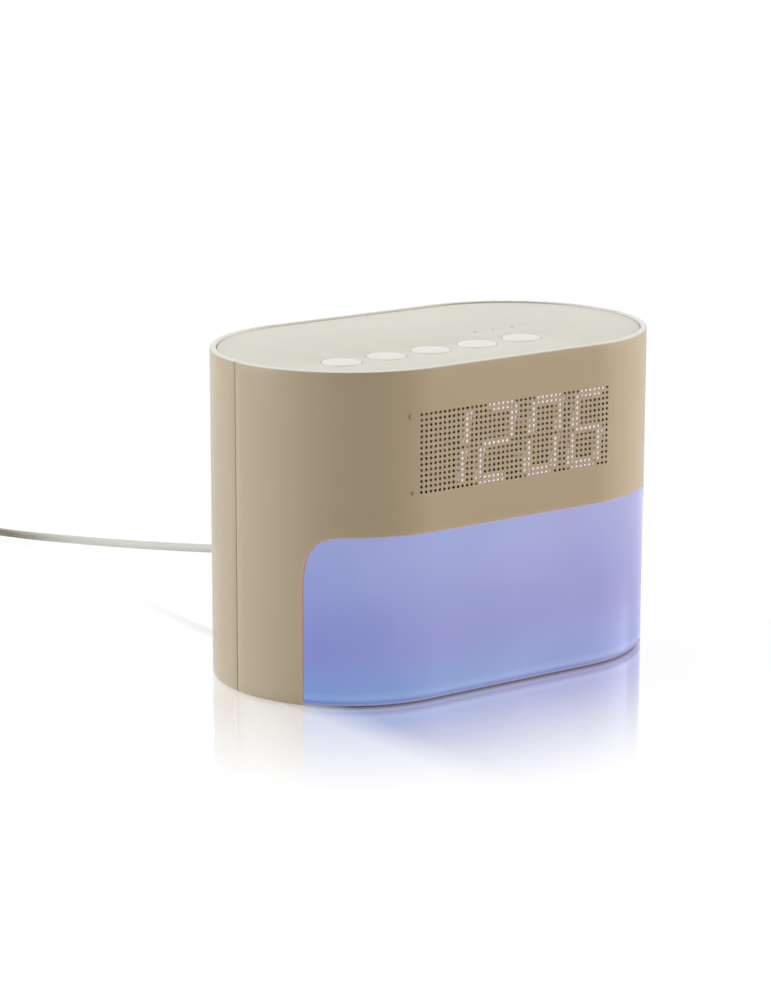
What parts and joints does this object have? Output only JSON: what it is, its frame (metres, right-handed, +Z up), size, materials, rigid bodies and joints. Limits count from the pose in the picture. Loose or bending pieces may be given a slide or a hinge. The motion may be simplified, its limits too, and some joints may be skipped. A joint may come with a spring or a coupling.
{
  "type": "sunrise alarm clock",
  "caption": "Table alarm clock with rounded ends: dot-perforated clock display above a wrap-round lamp panel, round push buttons on top, rear loudspeaker and a power lead.",
  "frame": {"origin": "centre of the housing's footprint, on the surface that the feet stand on; the power lead is not counted", "axes": "+X to the right seen from the front and along the long side, +Y from the display towards the back, +Z up"},
  "size_m": [0.1969, 0.3459, 0.125],
  "materials": {
    "shell_plastic": "fine satin, warm beige",
    "panel_plastic": "fine satin, pale cream",
    "button_plastic": "fine satin, off-white",
    "lamp_plastic": "translucent, satin, lit blue-violet",
    "reflector_plastic": "white",
    "base_plastic": "fine satin, beige",
    "foot_rubber": "matt",
    "screw_steel": "zinc plated",
    "circuit_board": "solder mask",
    "led_package": "clear resin",
    "black_plastic": "moulded, matt",
    "foam": "closed-cell foam",
    "lit_segment": "diffusing, lit white",
    "clear_plastic": "clear light guide",
    "component_plastic": "moulded component cases",
    "speaker_steel": "black painted steel",
    "magnet": "sintered ferrite",
    "cone_paper": "coated paper",
    "cord_plastic": "satin soft plastic, grey-beige",
    "strap": "hook and loop strap",
    "plug_metal": "nickel plated"
  },
  "bodies": {
    "housing": {"front_shell": "shell_plastic", "rear_shell": "shell_plastic", "top_panel": "panel_plastic", "base_plate": "base_plastic", "feet": "foot_rubber", "base_screws": "screw_steel", "lamp_diffuser": "lamp_plastic", "lamp_reflector": "reflector_plastic", "lamp_board": "circuit_board", "lamp_leds": "led_package", "display_baffle": "foam", "display_module": "black_plastic", "display_segments": "lit_segment", "display_board": "circuit_board", "button_switches": "component_plastic", "button_board": "circuit_board", "indicator_leds": "led_package", "light_pipes": "clear_plastic", "main_board": "circuit_board", "board_components": "component_plastic", "speaker_gasket": "foam", "speaker_frame": "speaker_steel", "speaker_magnet": "magnet", "speaker_cone": "cone_paper", "strain_relief": "cord_plastic", "power_cord": "cord_plastic", "power_cord_coil": "cord_plastic", "cord_tie": "strap", "usb_plug_body": "cord_plastic", "usb_plug_shell": "plug_metal", "usb_plug_tongue": "black_plastic"},
    "push_button_1": {"button_1": "button_plastic", "switch_plunger_1": "component_plastic"},
    "push_button_2": {"button_2": "button_plastic", "switch_plunger_2": "component_plastic"},
    "push_button_3": {"button_3": "button_plastic", "switch_plunger_3": "component_plastic"},
    "push_button_4": {"button_4": "button_plastic", "switch_plunger_4": "component_plastic"},
    "push_button_5": {"button_5": "button_plastic", "switch_plunger_5": "component_plastic"}
  },
  "joints": [
    {"name": "button_1_press", "type": "slide", "parent": "housing", "child": "push_button_1", "axis": [0, 0, -1], "range_m": [0, 0.0009], "stiffness_N_per_m": 900, "springref_m": -0.0006},
    {"name": "button_2_press", "type": "slide", "parent": "housing", "child": "push_button_2", "axis": [0, 0, -1], "range_m": [0, 0.0009], "stiffness_N_per_m": 900, "springref_m": -0.0006},
    {"name": "button_3_press", "type": "slide", "parent": "housing", "child": "push_button_3", "axis": [0, 0, -1], "range_m": [0, 0.0009], "stiffness_N_per_m": 900, "springref_m": -0.0006},
    {"name": "button_4_press", "type": "slide", "parent": "housing", "child": "push_button_4", "axis": [0, 0, -1], "range_m": [0, 0.0009], "stiffness_N_per_m": 900, "springref_m": -0.0006},
    {"name": "button_5_press", "type": "slide", "parent": "housing", "child": "push_button_5", "axis": [0, 0, -1], "range_m": [0, 0.0009], "stiffness_N_per_m": 900, "springref_m": -0.0006}
  ]
}
